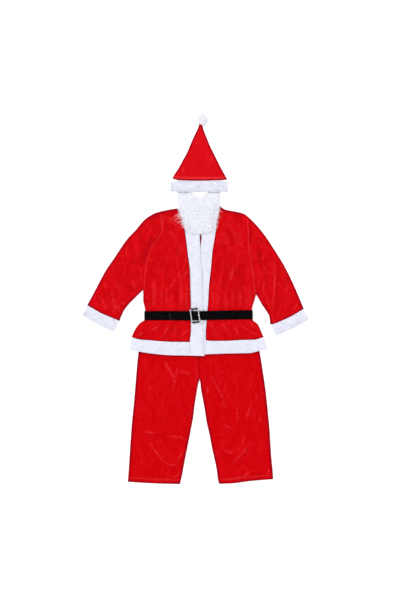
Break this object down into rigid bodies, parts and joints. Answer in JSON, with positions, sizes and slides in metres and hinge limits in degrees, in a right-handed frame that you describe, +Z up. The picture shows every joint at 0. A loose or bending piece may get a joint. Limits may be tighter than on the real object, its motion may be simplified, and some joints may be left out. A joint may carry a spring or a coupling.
{
  "type": "santa suit",
  "caption": "Santa suit laid flat: belted red velour jacket and trousers with white fleece trim, a buckle, a pompom hat and a curly white beard.",
  "frame": {"origin": "on the floor under the jacket's centre line, level with the armpits, on the underside of the jacket's back", "axes": "+Y from the trousers towards the hat, +X towards the wearer's left side, +Z up out of the suit's front"},
  "size_m": [1.1416, 1.8499, 0.0423],
  "materials": {
    "velour_red": "matt short-pile velour",
    "fleece_white": "soft short plush fleece",
    "beard_white": "curly synthetic hair",
    "belt_black": "satin grained leatherette",
    "buckle_silver": "polished"
  },
  "bodies": {
    "root": {"hat_front": "velour_red", "hat_back": "velour_red", "jacket_back": "velour_red", "jacket_front_left": "velour_red", "jacket_front_right": "velour_red", "sleeve_left": "velour_red", "sleeve_right": "velour_red", "trouser_leg_left": "velour_red", "trouser_leg_right": "velour_red", "trouser_waistband": "velour_red", "hat_band": "fleece_white", "pompom": "fleece_white", "collar_band": "fleece_white", "placket_left": "fleece_white", "placket_right": "fleece_white", "cuff_left": "fleece_white", "cuff_right": "fleece_white", "hem_band_back": "fleece_white", "hem_band_front_left": "fleece_white", "hem_band_front_right": "fleece_white", "beard": "beard_white", "belt_strap": "belt_black", "buckle_frame": "buckle_silver", "buckle_prong": "buckle_silver"}
  },
  "joints": []
}
